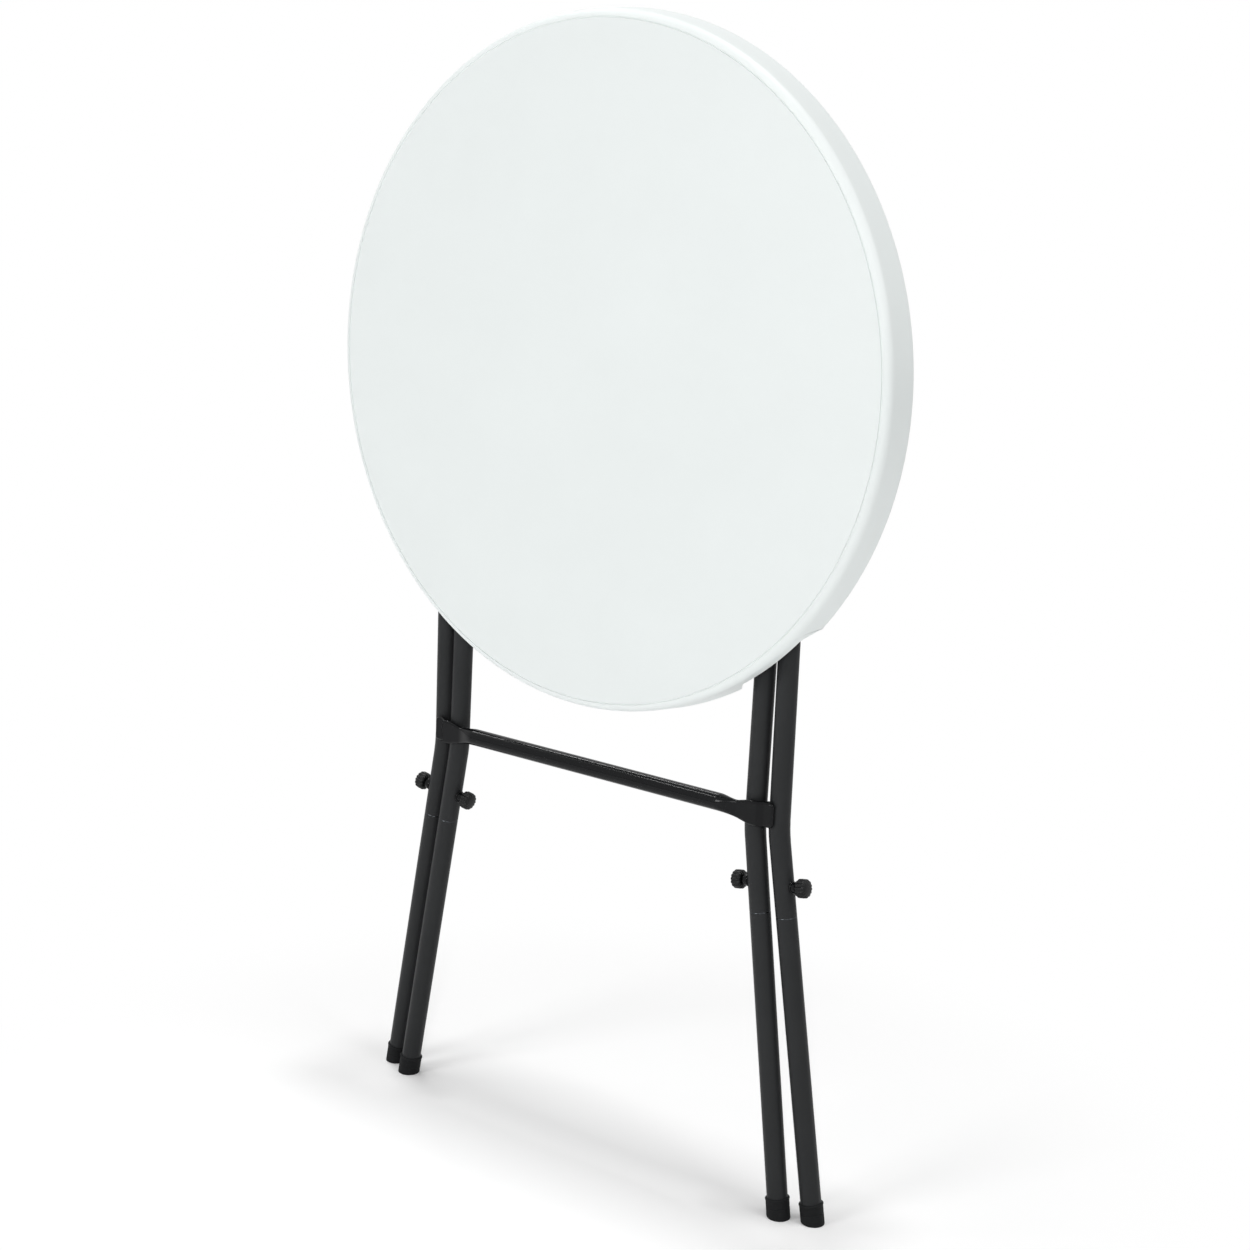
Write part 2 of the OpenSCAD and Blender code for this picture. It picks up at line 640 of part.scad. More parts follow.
// Threaded stud, its tip just clear of the spigot that it clamps
module stud(kind, side) {
    tip = spigot_r + face_fit;
    color("#6f7275") on_lower_leg(kind, side) translate([0, 0, knob_s]) rotate([0, 90 * kind, 0])
        translate([0, 0, tip]) cylinder(r = stud_r, h = knob_out - tip, $fn = round_fn);
}
module stud_outer_left() { stud(1, -1); }
module stud_outer_right() { stud(1, 1); }
module stud_inner_left() { stud(-1, -1); }
module stud_inner_right() { stud(-1, 1); }

// Round thumb knob with grip grooves, turning on its stud
module knob_shape() {
    half = knob_t / 2;
    difference() {
        rotate_extrude($fn = round_fn)
            polygon(concat([[0, -half]],
                           arc(knob_r - knob_round, knob_round - half, knob_round, -90, 0),
                           arc(knob_r - knob_round, half - knob_round, knob_round, 0, 90),
                           [[0, half]]));
        for (i = [0:grip_count - 1]) rotate([0, 0, i * 360 / grip_count])
            translate([knob_r + grip_r / 2, 0, -knob_t]) cylinder(r = grip_r, h = 2 * knob_t,
                                                                 $fn = hull_fn);
        translate([0, 0, -knob_t]) cylinder(r = stud_r + run_fit, h = knob_t + face_fit,
                                            $fn = round_fn);
    }
}
module knob(kind, side) {
    color("#191a1b") on_lower_leg(kind, side) translate([0, 0, knob_s]) rotate([0, 90 * kind, 0])
        translate([0, 0, knob_out]) knob_shape();
}
module knob_outer_left() { knob(1, -1); }
module knob_outer_right() { knob(1, 1); }
module knob_inner_left() { knob(-1, -1); }
module knob_inner_right() { knob(-1, 1); }

table_top();
hinge_block_left();
hinge_block_right();
hinge_strap_left();
hinge_strap_right();
brace_block_left();
brace_block_right();
brace_strap_left();
brace_strap_right();
strap_screws();
outer_leg_frame();
front_crossbar();
pivot_rivets();
pivot_spacers();
outer_weld_nuts();
inner_leg_left();
inner_leg_right();
inner_crossbar();
inner_end_plugs();
inner_weld_nuts();
brace_bar();
brace_arm_left();
brace_arm_right();
brace_rivets();
extension_outer_left();
extension_outer_right();
extension_inner_left();
extension_inner_right();
foot_cap_outer_left();
foot_cap_outer_right();
foot_cap_inner_left();
foot_cap_inner_right();
stud_outer_left();
stud_outer_right();
stud_inner_left();
stud_inner_right();
knob_outer_left();
knob_outer_right();
knob_inner_left();
knob_inner_right();
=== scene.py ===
"""Folding cocktail table: finished pieces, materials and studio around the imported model."""

import json
import math

import bmesh
import bpy
from bpy.props import (
    FloatProperty,
    FloatVectorProperty,
    IntProperty,
    PointerProperty,
)
from mathutils import Matrix, Vector


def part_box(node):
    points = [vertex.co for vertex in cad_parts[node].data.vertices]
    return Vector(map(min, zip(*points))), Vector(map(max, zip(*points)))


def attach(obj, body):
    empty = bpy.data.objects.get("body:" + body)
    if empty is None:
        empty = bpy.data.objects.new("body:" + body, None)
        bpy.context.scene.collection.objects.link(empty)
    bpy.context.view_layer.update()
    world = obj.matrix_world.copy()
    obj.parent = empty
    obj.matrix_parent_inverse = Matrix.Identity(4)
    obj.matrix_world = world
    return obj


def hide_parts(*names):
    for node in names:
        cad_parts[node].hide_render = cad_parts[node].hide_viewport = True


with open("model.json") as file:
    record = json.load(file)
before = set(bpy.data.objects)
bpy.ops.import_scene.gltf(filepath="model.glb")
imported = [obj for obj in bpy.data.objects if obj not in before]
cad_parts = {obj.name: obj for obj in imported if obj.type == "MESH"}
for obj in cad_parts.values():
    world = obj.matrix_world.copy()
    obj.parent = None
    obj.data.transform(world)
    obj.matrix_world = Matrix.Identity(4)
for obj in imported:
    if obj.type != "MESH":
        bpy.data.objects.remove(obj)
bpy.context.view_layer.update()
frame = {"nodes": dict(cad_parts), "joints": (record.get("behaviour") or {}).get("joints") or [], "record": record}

bl_info = {
    "name": "Folding cocktail table",
    "version": (1, 0, 0),
    "blender": (4, 5, 0),
    "location": "3D View > Sidebar > Table",
    "description": "Models and paints the folding cocktail table and its studio",
    "category": "Object",
}

MM = 0.001
JOINTS = {joint["name"]: joint for joint in frame["joints"]}
MOUNTS = {mount["name"]: mount for mount in frame["record"]["mounts"]}
SIDES = {"left": -1, "right": 1}
KINDS = ("outer", "inner")
# Each leg and the frame that carries it
LEGS = {f"{kind}_{side}": kind + "_frame" for kind in KINDS for side in SIDES}

PIVOT = Vector(JOINTS["legs_open"]["pos_m"])
HINGE = Vector(JOINTS["top_fold"]["pos_m"])
BRACE = Vector(JOINTS["brace_swing"]["pos_m"])
FACE = Vector(MOUNTS["table_surface"]["pos_m"])
LEG_DOWN = Vector(JOINTS["pull_outer_right"]["axis"])
FOLD_ANGLE = math.atan2(LEG_DOWN.y, -LEG_DOWN.z)
# Where a noise texture's values start and stop in a colour or roughness drift
DRIFT_START, DRIFT_STOP = 0.3, 0.7


def hex_colour(code):
    """An sRGB hex colour as Blender's linear one."""
    parts = [int(code[i:i + 2], 16) / 255 for i in (1, 3, 5)]
    return tuple(
        ((c + 0.055) / 1.055) ** 2.4 if c > 0.04045 else c / 12.92 for c in parts
    ) + (1.0,)


def length(name, millimetres, description):
    """A size property shown in the scene's units."""
    return FloatProperty(
        name=name,
        description=description,
        default=millimetres * MM,
        min=0.0,
        precision=5,
        unit="LENGTH",
    )


def colour(name, code, description):
    """A colour property."""
    return FloatVectorProperty(
        name=name,
        description=description,
        subtype="COLOR",
        size=4,
        min=0.0,
        max=1.0,
        default=hex_colour(code),
    )


class TopSettings(bpy.types.PropertyGroup):
    """Sizes and colour of the blow-moulded top."""

    plastic: colour("Plastic", "#e6ebea", "Colour of the moulded plastic")
    diameter: length("Diameter", 811.9, "Diameter of the top at its back edge")
    depth: length("Depth", 44, "Depth from the face to the back edge")
    panel: length("Panel", 22, "Thickness of the double-walled panel")
    rim: length("Rim", 28, "Width of the hollow ring around the back")
    front_round: length("Front rounding", 11, "Radius of the front edge")
    back_round: length("Back rounding", 3, "Radius of the rim's back edges")
    draft: length("Draft", 3, "How much the skirt widens to the back")
    groove: length("Groove width", 2, "Width of the ring groove in the face")
    groove_deep: length("Groove depth", 1.1, "Depth of the ring groove")
    notch_start: length("Notch start", 222, "Notch floor's inner end from the middle")
    notch_width: length("Notch width", 75, "Width of the notch floor")
    notch_slope: length("Notch slope", 16, "Sideways slope of a notch wall")
    notch_round: length("Notch rounding", 4, "Rounding in the notch corners")
    dimple: length("Dimple mouth", 9, "Radius of a stiffening dimple at its mouth")
    dimple_tip: length("Dimple tip", 4, "Radius of a stiffening dimple at its tip")
    dimple_deep: length("Dimple depth", 16, "Depth of a stiffening dimple")
    vent: length("Vent", 6, "Diameter of the blow pin's vent")


class LegSettings(bpy.types.PropertyGroup):
    """Sizes and colours of the tube legs and feet."""

    coat: colour("Tube coat", "#2d2e2f", "Powder coat of the leg tubes")
    rubber: colour("Foot caps", "#161718", "Rubber of the foot caps")
    # The bare steel's colour is kept dark as painted shade: it stands in for the shade in the splice gap.
    bare: colour("Bare steel", "#3f4144", "Swaged steel that shows at the splices")
    tube: length("Tube", 25, "Outside diameter of the leg tubes")
    cap: length("Cap diameter", 29.5, "Outside diameter of a foot cap")
    cap_height: length("Cap height", 25, "Height of a foot cap along the leg")
    splice: length("Splice", 369, "Distance of the splice from the floor, along the leg")
    splice_gap: length("Splice gap", 1, "Width of the bright ring at the splice")


class CrossbarSettings(bpy.types.PropertyGroup):
    """Sizes and colour of the front crossbar."""

    coat: colour("Coat", "#0c0d0f", "Glossy powder coat of the crossbar")
    diameter: length("Diameter", 21, "Outside diameter of the bar")
    height: length("Height", 488.5, "Height of the bar along the folded frame")
    flat_height: length("Flat height", 30, "Height of the flattened ends")
    flat_neck: length("Flat neck", 22, "Height of the flattened ends at the round bar")
    flat_drop: length("Flat drop", 2.5, "How much lower the flattened ends sit")
    flat_thick: length("Flat thickness", 6, "Thickness of the flattened ends")
    flat_from: length("Flattening start", 190, "Where the bar starts to flatten")
    flat_run: length("Flattening length", 28, "Length over which the bar flattens")
    forward: length("Forward", 21.26, "Distance of the bar in front of the outer legs")
    pad: length("Pad", 15.5, "Distance of the welded ends in front of the outer legs")
    flat_full: length("Full height", 234, "Where the ends reach their full height")
    crank_from: length("Crank start", 244, "Where the end steps back to the outer leg")
    crank_to: length("Crank end", 251, "Where the step ends")
    end: length("End", 263, "Distance of the bar's end from the middle")
    corner: length("Corner", 5, "Rounding of the flattened ends' corners")


class KnobSettings(bpy.types.PropertyGroup):
    """Sizes and colours of the thumb screws."""

    plastic: colour("Knob", "#0b0c0d", "Moulded plastic of the knobs")
    zinc: colour("Zinc", "#c3c6ca", "Plating of the studs, rivets and screws")
    diameter: length("Diameter", 22.5, "Diameter of a knob")
    thick: length("Thickness", 14.5, "Thickness of a knob")
    grips: IntProperty(
        name="Grips", description="Grooves around a knob", default=14, min=8, max=24
    )
    nut: length("Nut", 13, "Outside diameter of a weld nut")


class FittingSettings(bpy.types.PropertyGroup):
    """Sizes of the saddles, straps, screws and rivets."""

    nylon: colour("Saddle", "#2b2c2e", "Moulded plastic of the saddles and plugs")
    saddle: length("Saddle", 150, "Distance of a saddle from the middle")
    screw_up: length("Screw distance", 23.08, "Distance of a screw from the bar's axis")
    strap: length("Strap", 2.5, "Thickness of the steel straps")
    head: length("Screw head", 9, "Diameter of a screw head")
    head_height: length("Head height", 3, "Height of a screw head")
    rivet: length("Rivet", 8, "Diameter of a rivet")
    rivet_head: length("Rivet head", 14, "Diameter of a rivet head")
    rivet_height: length("Rivet head height", 2.5, "Height of a rivet head")


class StageSettings(bpy.types.PropertyGroup):
    """Camera, lamps and floor."""

    azimuth: FloatProperty(
        name="Azimuth",
        description="Camera's turn round the table",
        subtype="ANGLE",
        default=math.radians(37.867),
    )
    elevation: FloatProperty(
        name="Elevation",
        description="Camera's angle above the horizon",
        subtype="ANGLE",
        default=math.radians(12.301),
    )
    roll: FloatProperty(
        name="Roll",
        description="Camera's turn about its own axis",
        subtype="ANGLE",
        default=math.radians(2.604),
    )
    distance: length("Distance", 2695.6, "Camera's distance from the point it looks at")
    aim: FloatVectorProperty(
        name="Aim",
        description="Point that the camera looks at",
        subtype="TRANSLATION",
        unit="LENGTH",
        default=(0.01765, 0.02505, 0.66486),
    )
    lens: FloatProperty(
        name="Lens", description="Focal length in millimetres", default=64.716
    )
    sky: FloatProperty(
        name="Sky", description="Strength of the even light", default=0.14, min=0.0
    )
    floor: colour("Floor", "#fcfcfc", "Colour of the pale floor")
    floor_lift: FloatProperty(
        name="Floor lift", description="Share of plain white in the floor", default=0.15
    )


# Selecting and editing


def take(piece):
    """Selects one piece alone and makes it the active one."""
    bpy.ops.object.select_all(action="DESELECT")
    piece.select_set(True)
    bpy.context.view_layer.objects.active = piece


def edit(piece):
    """Opens a piece in edit mode with nothing selected."""
    take(piece)
    bpy.ops.object.mode_set(mode="EDIT")
    bpy.ops.mesh.select_all(action="DESELECT")


def close():
    """Goes back to object mode."""
    bpy.ops.object.mode_set(mode="OBJECT")


def pick(part, test):
    """Selects the vertices, edges or faces of the open piece that pass the test."""
    bpy.ops.mesh.select_mode(type=part)
    bpy.ops.mesh.select_all(action="DESELECT")
    data = bpy.context.edit_object.data
    mesh = bmesh.from_edit_mesh(data)
    for item in {"VERT": mesh.verts, "EDGE": mesh.edges, "FACE": mesh.faces}[part]:
        if test(item):
            item.select_set(True)
    mesh.select_flush_mode()
    bmesh.update_edit_mesh(data)


def use_modifier(piece, kind, **settings):
    """Adds a modifier to a piece and applies it."""
    take(piece)
    bpy.ops.object.modifier_add(type=kind)
    modifier = piece.modifiers[-1]
    for name, value in settings.items():
        setattr(modifier, name, value)
    bpy.ops.object.modifier_apply(modifier=modifier.name)


def smooth(piece, degrees=35):
    """Smooth shading that keeps the edges sharper than the angle."""
    take(piece)
    bpy.ops.object.shade_smooth_by_angle(angle=math.radians(degrees))
    use_modifier(piece, "WEIGHTED_NORMAL", keep_sharp=True)


def outward():
    """Merges doubles of the open piece and turns its faces outwards."""
    bpy.ops.mesh.select_mode(type="VERT")
    bpy.ops.mesh.select_all(action="SELECT")
    bpy.ops.mesh.remove_doubles(threshold=0.01 * MM)
    bpy.ops.mesh.normals_make_consistent(inside=False)


def arc(centre_r, centre_z, radius, start, end, steps):
    """Points of an arc in (radius, height), angles in degrees."""
    angles = [math.radians(start + (end - start) * i / steps) for i in range(steps + 1)]
    return [(centre_r + radius * math.cos(a), centre_z + radius * math.sin(a)) for a in angles]


def turned(name, outline, segments=64):
    """A closed piece drawn out ring by ring from (radius, height) points about Z."""
    radius, height = outline[0]
    bpy.ops.object.select_all(action="DESELECT")
    bpy.ops.mesh.primitive_circle_add(vertices=segments, radius=radius)
    piece = bpy.context.active_object
    piece.name = name
    edit(piece)
    bpy.ops.mesh.select_all(action="SELECT")
    bpy.ops.transform.translate(value=(0, 0, height))
    for next_radius, next_height in outline[1:]:
        bpy.ops.mesh.extrude_edges_move(
            TRANSFORM_OT_translate={"value": (0, 0, next_height - height)}
        )
        grow = next_radius / radius
        bpy.ops.transform.resize(value=(grow, grow, 1), center_override=(0, 0, next_height))
        radius, height = next_radius, next_height
    outward()
    bpy.ops.mesh.select_all(action="DESELECT")
    bpy.ops.mesh.select_non_manifold()
    bpy.ops.mesh.fill_holes(sides=0)
    outward()
    close()
    return piece


def place(piece, origin, axis):
    """Stands a piece made about Z on an axis and applies its place."""
    turn = Vector(axis).to_track_quat("Z", "Y").to_matrix().to_4x4()
    piece.matrix_world = Matrix.Translation(origin) @ turn
    take(piece)
    bpy.ops.object.transform_apply(location=True, rotation=True, scale=True)


def copy_piece(piece, name):
    """A copy of a piece with its own mesh."""
    take(piece)
    bpy.ops.object.duplicate()
    copy = bpy.context.active_object
    copy.name = name
    return copy


def join(pieces, name):
    """Joins pieces into one."""
    take(pieces[0])
    for piece in pieces:
        piece.select_set(True)
    bpy.ops.object.join()
    joined = bpy.context.active_object
    joined.name = name
    return joined


def cut(piece, cutter):
    """Cuts one piece with another and deletes the cutter."""
    use_modifier(piece, "BOOLEAN", operation="DIFFERENCE", solver="EXACT", object=cutter)
    discard(cutter)


def dressed_copy(node, name, edge=0.0, steps=2):
    """A merged copy of a CAD node, its sharp edges rounded when an edge width is given."""
    piece = bpy.data.objects.new(name, frame["nodes"][node].data.copy())
    bpy.context.scene.collection.objects.link(piece)
    edit(piece)
    outward()
    if edge:
        bpy.ops.mesh.dissolve_limited(angle_limit=math.radians(1))
    close()
    if edge:
        use_modifier(
            piece, "BEVEL", width=edge, segments=steps, limit_method="ANGLE",
            angle_limit=math.radians(50), use_clamp_overlap=True,
        )
    smooth(piece)
    return piece


def discard(*pieces):
    """Deletes pieces that only served as models."""
    for piece in pieces:
        take(piece)
        bpy.ops.object.delete()


def finish(piece, body, material, slot, *nodes):
    """Paints a piece, lets it ride on its body and stand for its CAD nodes."""
    piece.data.materials.clear()
    piece.data.materials.append(material)
    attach(piece, body)
    if nodes:
        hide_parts(*nodes)


def leg_line(leg):
    """The middle of a leg's foot and the direction up its axis."""
    return Vector(MOUNTS["foot_" + leg]["pos_m"]), -Vector(JOINTS["pull_" + leg]["axis"])


# Materials


def add_node(tree, kind, settings=(), inputs=(), links=()):
    """Adds a node with its settings, its input values and its links."""
    node = tree.nodes.new(kind)
    for name, value in dict(settings).items():
        setattr(node, name, value)
    for name, value in dict(inputs).items():
        node.inputs[name].default_value = value
    for name, source in dict(links).items():
        tree.links.new(source, node.inputs[name])
    return node


def surface(name, base, *, light, dark, spread_mm, grain_mm, bump_mm, roughness, values):
    """A material with a soft colour drift, a fine grain and an uneven gloss.

    The drift runs between the base colour times dark and times light over
    spread_mm. The grain of grain_mm raises the surface by bump_mm.
    The roughness runs between two values. The other values are constants.
    """
    material = bpy.data.materials.get(name)
    if material:
        return material
    material = bpy.data.materials.new(name)
    material.use_nodes = True
    tree = material.node_tree
    shader = tree.nodes["Principled BSDF"]
    for socket, value in values.items():
        shader.inputs[socket].default_value = value
    place_on = add_node(tree, "ShaderNodeTexCoord").outputs["Object"]
    drift = add_node(
        tree, "ShaderNodeTexNoise", inputs={"Scale": 1 / (spread_mm * MM), "Detail": 3},
        links={"Vector": place_on},
    )
    ramp = add_node(tree, "ShaderNodeValToRGB", links={"Fac": drift.outputs["Fac"]})
    stops = zip(ramp.color_ramp.elements, (DRIFT_START, DRIFT_STOP), (dark, light))
    for stop, position, share in stops:
        stop.position = position
        stop.color = [min(c * share, 1) for c in base[:3]] + [1]
    tree.links.new(ramp.outputs["Color"], shader.inputs["Base Color"])
    gloss = add_node(
        tree, "ShaderNodeMapRange",
        inputs={"From Min": DRIFT_START, "From Max": DRIFT_STOP,
                "To Min": roughness[0], "To Max": roughness[1]},
        links={"Value": drift.outputs["Fac"]},
    )
    tree.links.new(gloss.outputs["Result"], shader.inputs["Roughness"])
    grain = add_node(
        tree, "ShaderNodeTexNoise",
        inputs={"Scale": 1 / (grain_mm * MM), "Detail": 2, "Roughness": 0.5},
        links={"Vector": place_on},
    )
    relief = add_node(
        tree, "ShaderNodeBump", inputs={"Strength": 1.0, "Distance": bump_mm * MM},
        links={"Height": grain.outputs["Fac"]},
    )
    tree.links.new(relief.outputs["Normal"], shader.inputs["Normal"])
    return material


def moulded_hdpe(scene):
    """Blow-moulded polyethylene: satin white with a fine blasted-mould grain."""
    return surface(
        "blow_moulded_hdpe_white", scene.table_top.plastic,
        light=1.0, dark=0.985, spread_mm=120, grain_mm=1.6, bump_mm=0.02,
        roughness=(0.44, 0.5), values={"IOR": 1.54, "Specular IOR Level": 0.4},
    )


def charcoal_coat(scene):
    """Baked powder on tube: satin charcoal with the faint waviness of orange peel."""
    return surface(
        "powder_coat_charcoal_baked", scene.table_legs.coat,
        light=1.06, dark=0.94, spread_mm=60, grain_mm=1.8, bump_mm=0.03,
        roughness=(0.34, 0.42), values={"IOR": 1.5, "Specular IOR Level": 0.1},
    )


def black_coat(scene):
    """Glossy powder: flows out smooth, so lamps draw thin bright lines along it."""
    return surface(
        "powder_coat_black_glossy", scene.table_crossbar.coat,
        light=1.06, dark=0.94, spread_mm=40, grain_mm=2.2, bump_mm=0.004,
        roughness=(0.1, 0.14), values={"IOR": 1.5, "Specular IOR Level": 0.16},
    )


def zinc_plate(scene):
    """Bright zinc on steel: pale, slightly milky metal with a fine drawn grain."""
    return surface(
        "zinc_plated_steel", scene.table_knobs.zinc,
        light=1.04, dark=0.9, spread_mm=6, grain_mm=0.5, bump_mm=0.008,
        roughness=(0.26, 0.36), values={"Metallic": 1.0},
    )


def bare_steel(scene):
    """Swaged tube end, its steel darkened as painted shade for the splice gap; it glints where a lamp meets it."""
    return surface(
        "swaged_steel_shade_darkened", scene.table_legs.bare,
        light=1.03, dark=0.92, spread_mm=8, grain_mm=0.6, bump_mm=0.005,
        roughness=(0.2, 0.26), values={"Metallic": 1.0},
    )


def foot_rubber(scene):
    """Moulded rubber: dull, a little dusty, with a soft grain."""
    return surface(
        "moulded_rubber_black", scene.table_legs.rubber,
        light=1.25, dark=0.85, spread_mm=9, grain_mm=0.8, bump_mm=0.03,
        roughness=(0.6, 0.75), values={"IOR": 1.52, "Specular IOR Level": 0.12},
    )


def knob_plastic(scene):
    """Injection-moulded nylon: dark, satin, with a fine spark-eroded texture."""
    return surface(
        "injection_moulded_nylon_black", scene.table_knobs.plastic,
        light=1.1, dark=0.9, spread_mm=10, grain_mm=0.6, bump_mm=0.015,
        roughness=(0.3, 0.38), values={"IOR": 1.53, "Specular IOR Level": 0.2},
    )


def saddle_plastic(scene):
    """Glass-filled nylon of the saddles: greyer and duller than the knobs."""
    return surface(
        "glass_filled_nylon_grey", scene.table_fittings.nylon,
        light=1.15, dark=0.88, spread_mm=12, grain_mm=0.7, bump_mm=0.02,
        roughness=(0.48, 0.58), values={"IOR": 1.53, "Specular IOR Level": 0.25},
    )


# Operators


class PieceOperator:
    """What the table's operators share."""

    bl_options = {"REGISTER", "UNDO"}


class TABLE_OT_top(PieceOperator, bpy.types.Operator):
    """Models the blow-moulded top with its groove, notches and dimples"""

    bl_idname = "table.top"
    bl_label = "Moulded top"

    # Rings of dimples: share of the panel's radius, and how many
    rings = ((0.28, 8), (0.55, 14), (0.84, 22))
    # Shares of half the groove's width and of its depth, from the face outwards
    groove_profile = ((-0.1, 0), (0.1, 0.3), (0.35, 1), (1.35, 1), (1.6, 0.4))
    # No dimple comes this near to the middle of a saddle, sideways
    saddle_room = 36 * MM
    # Rounding of the sharp edges at the back, and the angle that counts as sharp
    edge_round = 1.2 * MM
    sharp = math.radians(38)
    segments = 288

    def outline(self, s):
        """Points of the turned shape in radius and depth."""
        back = s.diameter / 2
        front = back - s.draft
        flat = front - s.front_round
        half = s.groove / 2
        groove = [(flat + a * half, s.groove_deep * b) for a, b in self.groove_profile]
        start = math.degrees(math.asin(s.groove * 0.95 / s.front_round)) - 90
        inner = back - s.rim
        fillet = s.back_round
        return (
            [(flat * 0.5, 0)] + groove
            + arc(flat, s.front_round, s.front_round, start, 0, 12)
            + arc(back - fillet, s.depth - fillet, fillet, 0, 90, 6)
            + arc(inner + fillet, s.depth - fillet, fillet, 90, 180, 6)
            + arc(inner - fillet, s.panel + fillet, fillet, 0, -90, 5)
            + [(inner * 0.5, s.panel)]
        )

    def notch_cutter(self, s, side):
        """A tapered block for one rim notch, its lengthwise edges rounded."""
        over = s.panel / 2
        rise = s.depth + over - s.panel
        # A hair above the panel, so that the two faces don't coincide
        floor = s.panel + s.notch_round * 0.05
        across = side * (s.notch_start + s.notch_width / 2)
        down = s.diameter * 3 / 8
        bpy.ops.object.select_all(action="DESELECT")
        bpy.ops.mesh.primitive_cube_add(size=1)
        cutter = bpy.context.active_object
        cutter.scale = (s.notch_width, s.diameter / 4, rise)
        cutter.location = (across, down + over, floor + rise / 2)
        bpy.ops.object.transform_apply(location=True, rotation=False, scale=True)
        widen = (s.notch_width + 2 * s.notch_slope * rise / (s.depth - s.panel)) / s.notch_width
        edit(cutter)
        pick("VERT", lambda v: v.co.z > floor + rise / 2)
        bpy.ops.transform.resize(
            value=(widen, 1, 1), center_override=(across, down, floor + rise)
        )
        pick("EDGE", lambda e: abs(e.verts[0].co.z - floor) < MM / 10
             and abs(e.verts[1].co.z - floor) < MM / 10
             and abs(e.verts[0].co.x - e.verts[1].co.x) < MM / 10)
        bpy.ops.mesh.bevel(offset=s.notch_round, segments=4)
        outward()
        close()
        return cutter

    def dimple_cutter(self, s):
        """All the dimple cones and the vent in one cutter."""
        saddle = bpy.context.scene.table_fittings.saddle
        panel_radius = s.diameter / 2 - s.rim
        clear_z = self.saddle_room + s.dimple
        bars = (HINGE.z - FACE.z, BRACE.z - FACE.z)
        cone = turned(
            "dimple_cutter",
            [(s.dimple_tip * 0.7, s.panel - s.dimple_deep),
             (s.dimple_tip, s.panel - s.dimple_deep + 0.3 * s.dimple_tip),
             (s.dimple, s.panel - 0.1 * s.dimple_tip),
             (s.dimple * 1.2, s.panel + 0.2 * s.dimple_tip)],
            segments=24,
        )
        cones = []
        for share, count in self.rings:
            for k in range(count):
                turn = (k + 0.5) * math.tau / count
                x = share * panel_radius * math.sin(turn)
                z = share * panel_radius * math.cos(turn)
                near_saddle = abs(abs(x) - saddle) <= self.saddle_room
                if near_saddle and min(abs(z - bar) for bar in bars) <= clear_z:
                    continue
                copy = copy_piece(cone, "dimple_cutter")
                copy.location = (x, -z, 0)
                cones.append(copy)
        discard(cone)
        vent = turned(
            "vent_cutter",
            [(s.vent / 2, s.panel - 2 * s.vent / 3), (s.vent / 2, s.panel + s.vent)],
            segments=32,
        )
        return join([vent] + cones, "dimple_cutter")

    def execute(self, context):
        s = context.scene.table_top
        top = turned("moulded_top", self.outline(s), self.segments)
        for side in SIDES.values():
            cut(top, self.notch_cutter(s, side))
        cut(top, self.dimple_cutter(s))
        edit(top)
        pick("EDGE", lambda e: e.calc_face_angle(0) > self.sharp
             and max(v.co.z for v in e.verts) > s.groove_deep * 2)
        bpy.ops.mesh.bevel(offset=self.edge_round, segments=2, clamp_overlap=False)
        outward()
        close()
        smooth(top)
        top.matrix_world = Matrix.Translation(FACE) @ Matrix.Rotation(-math.pi / 2, 4, "X")
        take(top)
        bpy.ops.object.transform_apply(location=True, rotation=True, scale=True)
        finish(top, "top", moulded_hdpe(context.scene), "moulded_hdpe", "table_top")
        return {"FINISHED"}


class TABLE_OT_legs(PieceOperator, bpy.types.Operator):
    """Paints smooth copies of the leg frames, their crossbar and the brace"""

    bl_idname = "table.legs"
    bl_label = "Leg frames"

    tubes = {
        "outer_frame": ("outer_leg_frame",),
        "inner_frame": ("inner_leg_left", "inner_leg_right", "inner_crossbar"),
        "brace": ("brace_bar",),
    }

    def execute(self, context):
        coat = charcoal_coat(context.scene)
        for body, nodes in self.tubes.items():
            for node in nodes:
                tube = dressed_copy(node, node + "_painted")
                finish(tube, body, coat, "charcoal_powder_coat", node)
        black = black_coat(context.scene)
        for side in SIDES:
            arm = dressed_copy("brace_arm_" + side, "brace_arm_painted_" + side, 0.8 * MM)
            finish(arm, "brace", black, "black_powder_coat", "brace_arm_" + side)
        return {"FINISHED"}


class TABLE_OT_extensions(PieceOperator, bpy.types.Operator):
    """Paints the leg extensions and adds the bright ring at each splice"""

    bl_idname = "table.extensions"
    bl_label = "Leg extensions"

    # Slopes of the ring's lip in degrees, from the bottom up
    lip_slopes = (10, 17, 24, 31)

    def execute(self, context):
        s = context.scene.table_legs
        coat = charcoal_coat(context.scene)
        # Steel whose darkness is painted shade for the splice gap; the glint lamp draws its highlight.
        bright = bare_steel(context.scene)
        inside = s.tube * 0.44
        edge = s.tube / 2 - 0.05 * MM
        step = s.splice_gap / len(self.lip_slopes)
        outline = [(inside, s.splice), (edge, s.splice)]
        for i, slope in enumerate(self.lip_slopes):
            edge -= step * math.tan(math.radians(slope))
            outline.append((edge, s.splice + (i + 1) * step))
        outline += [(inside, s.splice + s.splice_gap), (inside, s.splice)]
        model = turned("splice_ring", outline, segments=72)
        smooth(model)
        for leg in LEGS:
            node = "extension_" + leg
            tube = dressed_copy(node, node + "_painted")
            finish(tube, "leg_" + leg, coat, "charcoal_powder_coat", node)
            ring = copy_piece(model, "splice_ring_" + leg)
            place(ring, *leg_line(leg))
            finish(ring, "leg_" + leg, bright, "zinc_plated_steel")
        discard(model)
        return {"FINISHED"}


